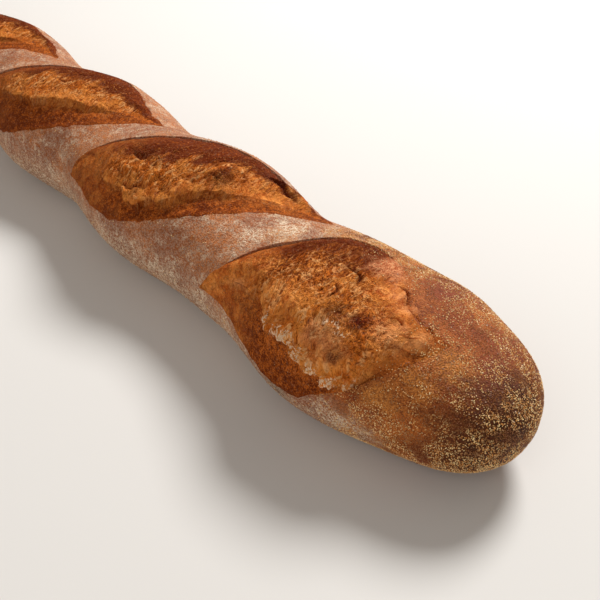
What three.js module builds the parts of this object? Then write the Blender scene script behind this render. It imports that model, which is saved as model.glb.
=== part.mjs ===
// A baguette: one long loaf of lean bread dough, scored with slanting cuts before it is baked.
// Each cut bursts open in the oven. Its upper rim lifts into a hard lip over a groove, the crumb
// below the lip domes up and tears along a ragged ledge, and a smooth band runs under the ledge.
//
// Frame: millimetres, +Z up. The loaf lies along X on its flat sole at Z = 0, centred over the
// origin, with its blunt end at +X. The cuts open towards -Y.
//
// A place on the skin is (x, s): x runs along the loaf, and s round it, from 0 on the top line,
// positive down the -Y flank, with SKIN_RADIUS millimetres of s to a radian.

import * as THREE from "three";
import { ImprovedNoise } from "three/addons/math/ImprovedNoise.js";
import { mergeVertices } from "three/addons/utils/BufferGeometryUtils.js";

const { clamp, degToRad, lerp, smoothstep } = THREE.MathUtils;

// The loaf as it was shaped
const LENGTH = 560;
const HALF_WIDTH = 33;
const HEIGHT = 45;
const WIDEST_AT = 0.48 * HEIGHT; // height of the widest level over the tray
const SKIN_RADIUS = 30;
const BLUNT_END = 76; // length of the rounding at the +X end
const SLIM_END = 96; // length of the rounding at the -X end
const END_POWER = 2.4; // 2 gives an elliptical end, more a blunter one
const NOSE_SHIFT = 2.5; // the blunt end bends this far towards +Y
const NOSE_LENGTH = 1.3 * BLUNT_END; // over this last stretch of the loaf
const SIDE_POWER = 0.92; // the powers of the section's curves: 1 would make them ellipses
const TOP_POWER = 0.95;
const SOLE_POWER = 0.8;
const SOLE_DEPTH = 1.15 * WIDEST_AT; // how deep the underside would hang if no tray held it
const TAPER = 0.0003; // share of its girth that the loaf loses with each millimetre towards -X
const TAPER_FROM = LENGTH / 2 - 80;

// The dough swells where a cut lets it, and keeps a waist under each strap of crust between cuts
const SWELL = 0.1;
const SWELL_LENGTH = 102;
const SWELL_STOPS = 0.45; // share of an end's rounding at which the swellings start to fade
const SWELL_LEAN = -14; // shift of a swelling along X from the top line to the -Y flank

// The cuts, from the blunt end. Each starts low on the -Y flank and ends near the top line, a bit
// further towards +X. The lip rises above the straight line between those tips and the hem drops
// below it, each most at rise / (rise + fall) of the way. The ledge runs at a share of the way
// from the lip down to the hem: deepest at one point, and higher on both sides of it by its slope.
const CUTS = [
  {
    start: { x: 157, s: 46 },
    end: { x: 252, s: 2 },
    swellAt: 225,
    lip: { height: 39, rise: 1.3, fall: 2 },
    hem: { height: 33, rise: 1.7, fall: 0.75 },
    ledge: { deepest: 0.86, at: 0.9, slope: 0.42, from: 0.28, to: 0.9 },
  },
  {
    start: { x: 60, s: 41 },
    end: { x: 178, s: -16 },
    swellAt: 109,
    lip: { height: 32, rise: 0.5, fall: 0.85 },
    hem: { height: 21, rise: 1.8, fall: 2.2 },
    ledge: { deepest: 0.83, at: 0.46, slope: 0.8, from: 0.14, to: 0.84 },
  },
  {
    start: { x: -44, s: 42 },
    end: { x: 72, s: -12 },
    swellAt: 19,
    lip: { height: 36, rise: 0.8, fall: 1.3 },
    hem: { height: 22, rise: 1.2, fall: 1.2 },
    ledge: { deepest: 0.68, at: 0.5, slope: 0.35, from: 0.16, to: 0.86 },
  },
  {
    start: { x: -146, s: 42 },
    end: { x: -30, s: -14 },
    swellAt: -84,
    lip: { height: 33, rise: 0.6, fall: 1 },
    hem: { height: 20, rise: 1.5, fall: 1.8 },
    ledge: { deepest: 0.82, at: 0.45, slope: 0.7, from: 0.16, to: 0.84 },
  },
  {
    start: { x: -243, s: 39 },
    end: { x: -133, s: -9 },
    swellAt: -187,
    lip: { height: 34, rise: 0.9, fall: 1.4 },
    hem: { height: 20, rise: 1.1, fall: 1 },
    ledge: { deepest: 0.86, at: 0.6, slope: 0.5, from: 0.2, to: 0.88 },
  },
];

// Relief of a cut, in millimetres out of the loaf
const LIP_HEIGHT = 1.9;
const LIP_ROLL = 13; // width of the roll of crust that ends in the lip
const LIP_OVERHANG = 1;
const GROOVE_DEPTH = 1.9;
const GROOVE_WIDTH = 5;
const DOME_HEIGHT = 3;
const DOME_POWER = 0.8; // below 1 the dome is flatter on top than a sine
const LEDGE_HEIGHT = 1.2;
const LEDGE_OVERHANG = 0.8;
const LEDGE_WIDTH = 6;
const LEDGE_CUTS_DOME = 0.12; // share of the dome's arch that is missing past the ledge
const UNDERCUT_DEPTH = 1.5;
const UNDERCUT_WIDTH = 7;
const BAND_DEPTH = 0.8;
const BAND_RIM = 4;
const CURL = 3; // power by which an overhang gathers at the very edge

// Stretches of a cut as shares of its length: where the lip stands, and how softly things start
const LIP_FROM = 0.02;
const LIP_TO = 0.78;
const LIP_FADE = 0.2;
const LEDGE_FADE = 0.14;
const LOW_TIP_FADE = 0.28;
const HIGH_TIP_FADE = 0.16;

// Unevenness of the crust, and of the torn crumb
const CRUST_BUMP = { size: 34, height: 0.7 };
const CRUMB_BUMPS = [
  { size: 17, height: 1.5 },
  { size: 7, height: 0.9 },
];

// Facets: rows from end to end, and columns round the loaf, closer together over the cuts
const BLUNT_ROWS = 24;
const BODY_ROWS = 96;
const SLIM_ROWS = 24;
const COLUMNS = 36;
const CLOSEST_ANGLE = degToRad(35);
const CLOSENESS = 0.45;
const ON_LINE = 0.05; // within this many millimetres a corner counts as lying on a line

const CRUST = new THREE.MeshStandardMaterial({ color: "#b97c4a", roughness: 0.8, metalness: 0 });

const noise = new ImprovedNoise();

// 0 at both ends of t and 1 at its peak, with the slopes of the two powers
function hump(t, { rise, fall }) {
  const peak = rise / (rise + fall);
  return (t / peak) ** rise * ((1 - t) / (1 - peak)) ** fall;
}

// How far x lies along a cut, from 0 at its low tip to 1 at its high tip
function shareAlong(cut, x) {
  return clamp((x - cut.start.x) / (cut.end.x - cut.start.x), 0, 1);
}

// The three lines of a cut, each as s at a given x
function lipLine(cut, x) {
  const t = shareAlong(cut, x);
  return lerp(cut.start.s, cut.end.s, t) - cut.lip.height * hump(t, cut.lip);
}

function hemLine(cut, x) {
  const t = shareAlong(cut, x);
  return lerp(cut.start.s, cut.end.s, t) + cut.hem.height * hump(t, cut.hem);
}

function ledgeLine(cut, x) {
  const { deepest, at, slope } = cut.ledge;
  const share = deepest - slope * Math.abs(shareAlong(cut, x) - at);
  return lerp(lipLine(cut, x), hemLine(cut, x), share);
}

// The stretch of X in which the ledge stands clear of the crumb
function ledgeReach(cut) {
  const { from, to } = cut.ledge;
  return [lerp(cut.start.x, cut.end.x, from), lerp(cut.start.x, cut.end.x, to)];
}

// How far s lies past a line, measured square to the line
function pastLine(line, cut, x, s) {
  const slope = line(cut, x + 0.5) - line(cut, x - 0.5);
  return (s - line(cut, x)) / Math.hypot(1, slope);
}

// 0 outside the stretch from .. to, 1 inside it, with soft ends
function stretch(t, from, to, softness) {
  return smoothstep(t, from, from + softness) * (1 - smoothstep(t, to - softness, to));
}

// The loaf's plain form: a rounded bar with swellings, as a point and the way out of the loaf
function plainForm(x, angle) {
  const end = x > 0 ? BLUNT_END : SLIM_END;
  const intoEnd = clamp((Math.abs(x) - (LENGTH / 2 - end)) / end, 0, 1);
  const round = Math.max(1 - intoEnd ** END_POWER, 0) ** (1 / END_POWER);
  const out = { x: Math.cos(angle), y: -Math.sin(angle) };
  let swelling = 0;
  for (const cut of CUTS) {
    const away = x - cut.swellAt - SWELL_LEAN * Math.sin(angle);
    const turn = clamp(away / SWELL_LENGTH, -0.5, 0.5);
    swelling += 0.5 + 0.5 * Math.cos(2 * Math.PI * turn);
  }
  const taper = 1 + TAPER * Math.min(x - TAPER_FROM, 0);
  const girth = taper * (1 + SWELL * (2 * swelling - 1) * (1 - smoothstep(intoEnd, SWELL_STOPS, 1)));
  const across = HALF_WIDTH * round * girth * Math.sign(out.y) * Math.abs(out.y) ** SIDE_POWER;
  const bend = NOSE_SHIFT * smoothstep(x, LENGTH / 2 - NOSE_LENGTH, LENGTH / 2);
  const above = (HEIGHT - WIDEST_AT) * round * girth * Math.abs(out.x) ** TOP_POWER;
  const below = SOLE_DEPTH * round ** SOLE_POWER * taper * Math.abs(out.x) ** SOLE_POWER;
  const side = Math.sqrt(1 - intoEnd ** 2);
  return {
    point: new THREE.Vector3(x, across + bend, out.x > 0 ? WIDEST_AT + above : WIDEST_AT - below),
    outward: new THREE.Vector3(Math.sign(x) * intoEnd, out.y * side, out.x * side),
    round,
  };
}

// What one cut does to the place (x, s): how far it lifts it, and how far it pushes it along s
function cutRelief(cut, x, s) {
  if (x <= cut.start.x || x >= cut.end.x) return { lift: 0, push: 0 };
  const t = shareAlong(cut, x);
  const lip = stretch(t, LIP_FROM, LIP_TO, LIP_FADE);
  const pastLip = pastLine(lipLine, cut, x, s);
  if (pastLip < ON_LINE) {
    const roll = lip * smoothstep(pastLip, -LIP_ROLL, 0);
    return { lift: LIP_HEIGHT * roll, push: LIP_OVERHANG * roll ** CURL };
  }
  const beforeHem = -pastLine(hemLine, cut, x, s);
  if (beforeHem < ON_LINE) return { lift: 0, push: 0 };
  const open = smoothstep(t, 0, LOW_TIP_FADE) * (1 - smoothstep(t, 1 - HIGH_TIP_FADE, 1));
  const torn = stretch(t, cut.ledge.from, cut.ledge.to, LEDGE_FADE);
  const pastLedge = pastLine(ledgeLine, cut, x, s);
  if (pastLedge > ON_LINE) {
    const fromLedge = smoothstep(pastLedge, 0, UNDERCUT_WIDTH);
    const undercut = UNDERCUT_DEPTH * torn * (1 - fromLedge);
    const band = BAND_DEPTH * open * smoothstep(beforeHem, 0, BAND_RIM) * lerp(fromLedge, 1, torn);
    return { lift: -undercut - band, push: 0 };
  }
  const across = (pastLip / (pastLip - pastLedge)) * (1 - LEDGE_CUTS_DOME * torn);
  const dome = DOME_HEIGHT * open * Math.sin(Math.PI * across) ** DOME_POWER;
  const groove = GROOVE_DEPTH * lip * (1 - smoothstep(pastLip, 0, GROOVE_WIDTH));
  const nearLedge = smoothstep(pastLedge, -LEDGE_WIDTH, 0);
  const edge = torn * nearLedge;
  let crumb = 0;
  for (const { size, height } of CRUMB_BUMPS) {
    crumb += height * noise.noise(x / size, s / size, size);
  }
  return {
    lift: dome - groove + LEDGE_HEIGHT * edge + open * crumb * lerp(1 - nearLedge, 1, torn),
    push: LEDGE_OVERHANG * edge ** CURL,
  };
}

// The point of the baked skin at the place (x, s)
function bakedSkin({ x, s }) {
  let lift = CRUST_BUMP.height * noise.noise(x / CRUST_BUMP.size, s / CRUST_BUMP.size, 0);
  let push = 0;
  for (const cut of CUTS) {
    const relief = cutRelief(cut, x, s);
    lift += relief.lift;
    push += relief.push;
  }
  const { point, outward, round } = plainForm(x, (s + push) / SKIN_RADIUS);
  point.addScaledVector(outward, lift * Math.sqrt(round));
  point.z = Math.max(point.z, 0);
  return point;
}

// The place for a direction on a unit ball whose poles are the two ends of the loaf
function placeOf(ball) {
  const row = (Math.acos(clamp(ball.y, -1, 1)) / Math.PI) * (BLUNT_ROWS + BODY_ROWS + SLIM_ROWS);
  const bodyStart = LENGTH / 2 - BLUNT_END;
  const bodyEnd = SLIM_END - LENGTH / 2;
  const fromBlunt = row / BLUNT_ROWS;
  const fromSlim = (BLUNT_ROWS + BODY_ROWS + SLIM_ROWS - row) / SLIM_ROWS;
  let x = lerp(bodyStart, bodyEnd, (row - BLUNT_ROWS) / BODY_ROWS);
  if (fromBlunt < 1) {
    x = bodyStart + BLUNT_END * Math.cos((fromBlunt * Math.PI) / 2) ** (2 / END_POWER);
  } else if (fromSlim < 1) {
    x = bodyEnd - SLIM_END * Math.cos((fromSlim * Math.PI) / 2) ** (2 / END_POWER);
  }
  const angle = Math.atan2(-ball.z, ball.x);
  return { x, s: SKIN_RADIUS * (angle - CLOSENESS * Math.sin(angle - CLOSEST_ANGLE)) };
}

// The edges of the facets, each once, as pairs of corner numbers
function edgesOf(index) {
  const edges = [];
  for (let i = 0; i < index.count; i += 3) {
    for (let k = 0; k < 3; k++) {
      const from = index.getX(i + k);
      const to = index.getX(i + ((k + 1) % 3));
      if (from < to) edges.push([from, to]);
    }
  }
  return edges;
}

// Moves corners onto a line of a cut until no edge crosses it, the nearest corners first
function alignToLine(places, edges, line, cut) {
  const [lowX, highX] = line === ledgeLine ? ledgeReach(cut) : [cut.start.x, cut.end.x];
  const side = places.map(({ x, s }) => s - line(cut, x));
  const moves = [];
  for (const [from, to] of edges) {
    const inside = [from, to].every((i) => places[i].x > lowX && places[i].x < highX);
    const overSeam = Math.abs(places[from].s - places[to].s) > Math.PI * SKIN_RADIUS;
    if (!inside || overSeam || side[from] * side[to] >= 0) continue;
    const share = side[from] / (side[from] - side[to]);
    const x = lerp(places[from].x, places[to].x, share);
    const nearer = share < 0.5 ? from : to;
    moves.push({ from, to, nearer, x, distance: Math.min(share, 1 - share) });
  }
  moves.sort((one, other) => one.distance - other.distance);
  const onLine = new Set();
  for (const { from, to, nearer, x } of moves) {
    if (onLine.has(from) || onLine.has(to)) continue;
    places[nearer] = { x, s: line(cut, x) };
    onLine.add(nearer);
  }
}

function loafGeometry() {
  const ball = new THREE.SphereGeometry(1, COLUMNS, BLUNT_ROWS + BODY_ROWS + SLIM_ROWS);
  ball.deleteAttribute("normal");
  ball.deleteAttribute("uv");
  const geometry = mergeVertices(ball);
  const position = geometry.attributes.position;
  const corner = new THREE.Vector3();
  const places = [];
  for (let i = 0; i < position.count; i++) {
    places.push(placeOf(corner.fromBufferAttribute(position, i)));
  }
  const edges = edgesOf(geometry.index);
  for (const cut of CUTS) {
    for (const line of [lipLine, hemLine, ledgeLine]) {
      alignToLine(places, edges, line, cut);
    }
  }
  places.forEach((place, i) => position.setXYZ(i, ...bakedSkin(place)));
  geometry.computeBoundingBox();
  const middle = geometry.boundingBox.getCenter(new THREE.Vector3());
  geometry.translate(-middle.x, -middle.y, -geometry.boundingBox.min.z);
  geometry.computeVertexNormals();
  return geometry;
}

const loaf = new THREE.Mesh(loafGeometry(), CRUST);
loaf.name = "loaf";

const group = new THREE.Group();
group.add(loaf);

export default group;
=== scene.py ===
# A baguette in its looks: the baked crust, the torn crumb of its five cuts, and the flour and
# semolina that it was proved on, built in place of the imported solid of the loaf.
#
# Lengths are in millimetres until a mesh is written, which is in metres. A place on the skin is
# (x, s): x runs along the loaf, and s round it, from 0 on the top line, positive down the side
# that the cuts open to, with SKIN_RADIUS millimetres of s to a radian.

import math
import random
from functools import cache

import bmesh
import bpy
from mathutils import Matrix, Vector, noise


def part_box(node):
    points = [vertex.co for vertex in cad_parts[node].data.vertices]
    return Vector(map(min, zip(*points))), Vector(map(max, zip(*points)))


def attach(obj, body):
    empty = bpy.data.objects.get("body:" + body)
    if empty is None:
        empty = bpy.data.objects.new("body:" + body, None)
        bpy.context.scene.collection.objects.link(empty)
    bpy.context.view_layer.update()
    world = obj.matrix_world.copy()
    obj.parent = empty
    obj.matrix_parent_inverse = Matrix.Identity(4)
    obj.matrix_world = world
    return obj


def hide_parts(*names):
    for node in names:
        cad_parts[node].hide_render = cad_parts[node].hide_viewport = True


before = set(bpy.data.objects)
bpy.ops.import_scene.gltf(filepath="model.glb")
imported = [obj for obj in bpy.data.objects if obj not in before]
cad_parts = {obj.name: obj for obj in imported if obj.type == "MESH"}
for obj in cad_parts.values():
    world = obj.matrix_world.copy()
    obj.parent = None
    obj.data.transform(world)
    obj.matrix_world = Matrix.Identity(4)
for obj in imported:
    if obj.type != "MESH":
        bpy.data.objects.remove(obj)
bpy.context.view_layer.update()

# --- The crust ---------------------------------------------------------------------------------
# The skin of a lean dough, baked hard on a flat tray. It swells at each cut and keeps a waist
# under each strap between cuts. Along a cut's upper rim it has lifted into a lip, and below the
# torn crumb it runs on as a smooth band down to the hem.

MM = 0.001
LOW, HIGH = (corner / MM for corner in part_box("loaf"))
LENGTH = HIGH.x - LOW.x
HALF_WIDTH = 33
HEIGHT = 45
WIDEST_AT = 0.48 * HEIGHT  # height of the widest level over the tray
SKIN_RADIUS = 30
BLUNT_END = 76  # length of the rounding at the +X end
SLIM_END = 96  # length of the rounding at the -X end
END_POWER = 2.4  # 2 gives an elliptical end, more a blunter one
NOSE_SHIFT = 2.5  # the blunt end bends this far towards +Y
NOSE_LENGTH = 1.3 * BLUNT_END  # over this last stretch of the loaf
SIDE_POWER = 0.92  # the powers of the section's curves: 1 would make them ellipses
TOP_POWER = 0.95
SOLE_POWER = 0.8
SOLE_DEPTH = 1.15 * WIDEST_AT  # how deep the underside would hang if no tray held it
TAPER = 0.0003  # share of its girth that the loaf loses with each millimetre towards -X
TAPER_FROM = LENGTH / 2 - 80
SWELL = 0.1  # share of its girth by which the loaf swells at a cut and shrinks between cuts
SWELL_LENGTH = 102
SWELL_STOPS = 0.45  # share of an end's rounding at which the swellings start to fade
SWELL_LEAN = -14  # shift of a swelling along X from the top line to the -Y flank
UNEVEN_HEIGHT, UNEVEN_SIZE = 0.7, 34

# Relief of a cut, in millimetres out of the loaf
LIP_HEIGHT = 1.4
LIP_ROLL = 13  # width of the roll of crust that ends in the lip
LIP_OVERHANG = 1
GROOVE_DEPTH = 0.8
GROOVE_WIDTH = 3
DOME_HEIGHT = 3
DOME_POWER = 0.8  # below 1 the dome is flatter on top than a sine
FADE_OUT = 9  # width over which the dome runs out where no ledge broke off
LEDGE_HEIGHT = 1.2
LEDGE_OVERHANG = 0.8
LEDGE_WIDTH = 6
LEDGE_CUTS_DOME = 0.12  # share of the dome's arch that is missing past the ledge
UNDERCUT_DEPTH = 0.4
UNDERCUT_WIDTH = 7
BAND_DEPTH = 0.8
BAND_RIM = 4
CURL = 3  # power by which an overhang gathers at the very edge
FLOOR_GAP = 0.5  # how far the crust passes under the torn crumb at a cut's tips
FLOOR_SUNK = 3.8  # how much further it passes under its middle
ON_LINE = 0.02  # a corner less far past a line counts as on it

# Stretches of a cut as shares of its length: where the lip starts, and how softly things start
LIP_FROM, LIP_FADE = 0.02, 0.2
LEDGE_FADE = 0.14
LOW_TIP_FADE = 0.28
HIGH_TIP_FADE = 0.16
TATTER_FADE = 0.12

# Tatters of a cut's lines, each with its height and size. The lip's grow higher along a stretch.
LIP_TATTER_HEIGHTS, LIP_TATTER_SIZE, LIP_TATTERS_GROW = (0.5, 1.6), 5, (0.66, 0.8)
HEM_TATTER = (0.7, 7)
LEDGE_TATTER, LEDGE_FRAY = (1.5, 6), (0.8, 2.2)
LOBE_TIP = 0.2  # share of a lobe's half width that hangs down all the way


def clamp(value, low=0, high=1):
    return max(low, min(high, value))


def lerp(start, end, share):
    return start + (end - start) * share


def smooth(value, start, end):
    """0 before start and 1 past end, with a soft way between."""
    share = clamp((value - start) / (end - start))
    return share * share * (3 - 2 * share)


def fading(value, start, end):
    """1 before start and 0 past end."""
    return 1 - smooth(value, start, end)


def stretch(share, start, end, fade):
    """1 between start and end and 0 outside, with soft ends."""
    return smooth(share, start, start + fade) * fading(share, end - fade, end)


def hump(share, rise, fall):
    """0 at both ends of share and 1 at its peak."""
    peak = rise / (rise + fall)
    return (share / peak) ** rise * ((1 - share) / (1 - peak)) ** fall


def bumps(x, s, size, seed=0):
    """Soft unevenness from -1 to 1, of the given size in millimetres."""
    return noise.noise(Vector((x / size, s / size, seed)))


class Cut:
    """A cut that baked open. The lip runs above the straight line between the cut's tips and the hem
    below it, each most at rise / (rise + fall) of the way. The ledge runs at a share of the way from
    the lip down to the hem: deepest at one point, and higher on both sides of it by its slope.

    lip: height, rise and fall, then where along the cut it ends and how high it lifts, as shares
    hem: height, rise and fall
    ledge: how deep at most, where, and its slope, then from where to where the crumb broke off at it
    lobes: places along the ledge, half their width, and how far they hang down
    rocky: 0 for smooth crumb and 1 for crumb in lumps
    """

    def __init__(self, low_tip, high_tip, swell_at, lip, hem, ledge, rocky, seed, lobes=()):
        self.low_tip, self.high_tip, self.swell_at = low_tip, high_tip, swell_at
        *self.lip_bow, self.lip_end, self.lip_lift = lip
        self.hem_bow = hem
        *self.ledge_bow, self.torn_from, self.torn_to = ledge
        self.rocky, self.seed, self.lobes = rocky, seed, lobes

    def share(self, x):
        """How far along the cut a place lies, from 0 at its low tip to 1 at its high one."""
        return clamp((x - self.low_tip[0]) / (self.high_tip[0] - self.low_tip[0]))

    def chord(self, x):
        return lerp(self.low_tip[1], self.high_tip[1], self.share(x))

    def bumps(self, x, s, size, layer=0):
        return bumps(x, s, size, self.seed + layer)

    def ragged(self, x, height, size):
        """Raggedness of a line along the cut, none at its tips."""
        share = self.share(x)
        fade = smooth(min(share, 1 - share), 0, TATTER_FADE)
        finer = 0.5 * self.bumps(x, 9, size / 2.3)
        return height * fade * (self.bumps(x, 0, size) + finer)

    @cache
    def lip_line(self, x):
        share = self.share(x)
        height, rise, fall = self.lip_bow
        tatter = lerp(*LIP_TATTER_HEIGHTS, smooth(share, *LIP_TATTERS_GROW))
        above = height * hump(share, rise, fall)
        return self.chord(x) - above + self.ragged(x, tatter, LIP_TATTER_SIZE)

    @cache
    def hem_line(self, x):
        height, rise, fall = self.hem_bow
        below = height * hump(self.share(x), rise, fall)
        return self.chord(x) + below + self.ragged(x, *HEM_TATTER)

    @cache
    def ledge_line(self, x):
        deepest, at, slope = self.ledge_bow
        down = deepest - slope * abs(self.share(x) - at)
        tatter = self.ragged(x, *LEDGE_TATTER) + self.ragged(x, *LEDGE_FRAY)
        for lobe_x, half, drop in self.lobes:
            tatter += drop * fading(abs(x - lobe_x), LOBE_TIP * half, half)
        return lerp(self.lip_line(x), self.hem_line(x), down) + tatter * self.torn(x)

    def torn(self, x):
        """1 where the crumb broke off at the ledge, and 0 where it runs on without one."""
        return stretch(self.share(x), self.torn_from, self.torn_to, LEDGE_FADE)

    def lifted(self, x):
        """How high the lip stands, as a share of LIP_HEIGHT."""
        return self.lip_lift * stretch(self.share(x), LIP_FROM, self.lip_end, LIP_FADE)

    def opened(self, x):
        """How far the cut has opened: 0 at its tips and 1 between them."""
        share = self.share(x)
        return smooth(share, 0, LOW_TIP_FADE) * fading(share, 1 - HIGH_TIP_FADE, 1)


# The cuts, from the blunt end. The first is called the near one.
CUTS = [
    Cut(
        low_tip=(157, 46), high_tip=(252, 2), swell_at=225,
        lip=(39, 1.3, 2, 0.68, 0.5), hem=(33, 1.7, 0.75),
        ledge=(0.86, 0.9, 0.42, 0.28, 0.97),
        lobes=((213, 9, -2.4), (231.5, 5, 3.5), (238.5, 5, 4)),
        rocky=0.1, seed=1.5,
    ),
    Cut(
        low_tip=(60, 41), high_tip=(178, -16), swell_at=109,
        lip=(32, 0.5, 0.85, 0.92, 0.9), hem=(21, 1.8, 2.2),
        ledge=(0.83, 0.46, 0.8, 0.14, 0.76),
        lobes=((102, 7, -1.5), (112, 6, 1.5), (125, 7, 1.5), (133, 5, -1)),
        rocky=0.8, seed=2.5,
    ),
    Cut(
        low_tip=(-44, 42), high_tip=(72, -12), swell_at=19,
        lip=(36, 0.8, 1.3, 0.78, 0.9), hem=(22, 1.2, 1.2),
        ledge=(0.68, 0.5, 0.35, 0.16, 0.86),
        rocky=0.5, seed=3.5,
    ),
    Cut(
        low_tip=(-146, 42), high_tip=(-30, -14), swell_at=-84,
        lip=(33, 0.6, 1, 0.78, 0.9), hem=(20, 1.5, 1.8),
        ledge=(0.82, 0.45, 0.7, 0.16, 0.84),
        rocky=0.9, seed=4.5,
    ),
    Cut(
        low_tip=(-243, 39), high_tip=(-133, -9), swell_at=-187,
        lip=(34, 0.9, 1.4, 0.78, 0.9), hem=(20, 1.1, 1),
        ledge=(0.86, 0.6, 0.5, 0.2, 0.88),
        rocky=0.6, seed=5.5,
    ),
]


@cache
def slant(line, x):
    """How much longer a step along a line is than its step in x."""
    return math.hypot(1, line(x + 1) / 2 - line(x - 1) / 2)


def past(line, x, s):
    """How far a place lies past a line, measured square to it."""
    return (s - line(x)) / slant(line, x)


def plain_form(x, angle):
    """The loaf without its cuts: a rounded bar with swellings, its way out, and its roundness."""
    end = BLUNT_END if x > 0 else SLIM_END
    into_end = clamp((abs(x) - (LENGTH / 2 - end)) / end)
    roundness = max(1 - into_end**END_POWER, 0) ** (1 / END_POWER)
    up, out = math.cos(angle), -math.sin(angle)
    swelling = 0
    for cut in CUTS:
        away = x - cut.swell_at - SWELL_LEAN * math.sin(angle)
        swelling += 0.5 + 0.5 * math.cos(2 * math.pi * clamp(away / SWELL_LENGTH, -0.5, 0.5))
    taper = 1 + TAPER * min(x - TAPER_FROM, 0)
    girth = taper * (1 + SWELL * (2 * swelling - 1) * fading(into_end, SWELL_STOPS, 1))
    across = HALF_WIDTH * roundness * girth * math.copysign(abs(out) ** SIDE_POWER, out)
    bend = NOSE_SHIFT * smooth(x, LENGTH / 2 - NOSE_LENGTH, LENGTH / 2)
    above = (HEIGHT - WIDEST_AT) * roundness * girth * abs(up) ** TOP_POWER
    below = SOLE_DEPTH * roundness**SOLE_POWER * taper * abs(up) ** SOLE_POWER
    side = math.sqrt(1 - into_end**2)
    point = Vector((x, across + bend, WIDEST_AT + above if up > 0 else WIDEST_AT - below))
    return point, Vector((math.copysign(into_end, x), out * side, up * side)), roundness


# Two places where the dough rose fuller: the waist behind the near cut, and the corner of the
# blunt end. Each is its place, how far it reaches and how high it rose.
FULLER = [((194, -22), 32, 3.2), ((263, -34), 22, 2.8)]


def skin_point(x, s, lift, push):
    """The point of the skin at a place, lifted out of the loaf and pushed on round it."""
    point, outward, roundness = plain_form(x, (s + push) / SKIN_RADIUS)
    lift += UNEVEN_HEIGHT * bumps(x, s, UNEVEN_SIZE)
    for (full_x, full_s), reach, height in FULLER:
        lift += height * fading(math.hypot(x - full_x, s - full_s), 0, reach)
    point += outward * lift * math.sqrt(roundness)
    point.z = max(point.z, 0)
    return point


def way_across(past_lip, before_ledge):
    """How far across the crumb a place lies, from 0 at the lip to 1 at the ledge."""
    return clamp(past_lip / max(past_lip + before_ledge, 0.01))


def dome(cut, x, past_lip, before_ledge):
    """Height of the crumb's dome between the lip and the ledge, with the groove under the lip."""
    across = way_across(past_lip, before_ledge)
    arch = math.sin(math.pi * across * (1 - LEDGE_CUTS_DOME * cut.torn(x))) ** DOME_POWER
    arch *= lerp(smooth(before_ledge, 0, FADE_OUT), 1, cut.torn(x))
    groove = GROOVE_DEPTH * cut.lifted(x) * fading(past_lip, 0, GROOVE_WIDTH)
    return DOME_HEIGHT * cut.opened(x) * arch - groove


def band(cut, x, past_ledge, before_hem):
    """Height of the smooth band between the ledge and the hem, with the undercut by the ledge."""
    from_ledge = smooth(past_ledge, 0, UNDERCUT_WIDTH)
    sag = BAND_DEPTH * cut.opened(x) * smooth(before_hem, 0, BAND_RIM)
    return -UNDERCUT_DEPTH * cut.torn(x) * (1 - from_ledge) - sag * lerp(from_ledge, 1, cut.torn(x))


def crust_relief(cut, x, s):
    """Lift and push of the crust round a cut, and whether the place lies under its crumb."""
    if not cut.low_tip[0] < x < cut.high_tip[0]:
        return 0, 0, False
    past_lip = past(cut.lip_line, x, s)
    if past_lip < ON_LINE:
        roll = cut.lifted(x) * smooth(past_lip, -LIP_ROLL, 0)
        return LIP_HEIGHT * roll, LIP_OVERHANG * roll**CURL, False
    before_hem = -past(cut.hem_line, x, s)
    if before_hem < ON_LINE:
        return 0, 0, False
    past_ledge = past(cut.ledge_line, x, s)
    if past_ledge < 0:
        above = dome(cut, x, past_lip, -past_ledge)
    else:
        above = band(cut, x, past_ledge, before_hem)
    return above - FLOOR_GAP - FLOOR_SUNK * cut.opened(x), 0, True


# The crust's mesh is a ball with its poles at the loaf's two ends. Its rows are closer together at
# the blunt end and its columns over the cuts, and its corners are drawn onto the cuts' lines.
BLUNT_ROWS, BODY_ROWS, SLIM_ROWS, COLUMNS = 118, 400, 74, 150
ROWS_SPREAD = 0.3  # 0 would space the rows of the body evenly
CLOSEST_ANGLE = math.radians(35)  # where the columns are closest together, from the top line
CLOSENESS = 0.45  # 0 would space the columns evenly
SHARP_OVER = math.radians(65)  # an edge that bends more than this is shaded sharp


def place_on_skin(ball):
    """The place for a corner of a unit ball."""
    rows = BLUNT_ROWS + BODY_ROWS + SLIM_ROWS
    row = math.acos(clamp(ball.z, -1, 1)) / math.pi * rows
    body_start, body_end = LENGTH / 2 - BLUNT_END, SLIM_END - LENGTH / 2
    if row < BLUNT_ROWS:
        x = body_start + BLUNT_END * math.cos(row / BLUNT_ROWS * math.pi / 2) ** (2 / END_POWER)
    elif rows - row < SLIM_ROWS:
        x = body_end - SLIM_END * math.cos((rows - row) / SLIM_ROWS * math.pi / 2) ** (2 / END_POWER)
    else:
        share = (row - BLUNT_ROWS) / BODY_ROWS
        x = lerp(body_start, body_end, share * (1 - ROWS_SPREAD + ROWS_SPREAD * share))
    angle = math.atan2(ball.y, ball.x)
    return [x, SKIN_RADIUS * (angle - CLOSENESS * math.sin(angle - CLOSEST_ANGLE))]


def draw_to_line(places, edges, line, low_x, high_x):
    """Moves corners onto a line until no edge crosses it, the nearest corners first."""
    side = {i: s - line(x) for i, (x, s) in enumerate(places) if low_x < x < high_x}
    moves = []
    for one, other in edges:
        if one not in side or other not in side or side[one] * side[other] >= 0:
            continue
        # An edge over the seam on the underside goes nearly a whole turn of s, and crosses no cut
        if abs(places[one][1] - places[other][1]) > SKIN_RADIUS:
            continue
        share = side[one] / (side[one] - side[other])
        nearer = one if share < 0.5 else other
        x = lerp(places[one][0], places[other][0], share)
        moves.append((min(share, 1 - share), one, other, nearer, x))
    on_line = set()
    for _, one, other, nearer, x in sorted(moves):
        if one not in on_line and other not in on_line:
            places[nearer] = [x, line(x)]
            on_line.add(nearer)


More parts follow.
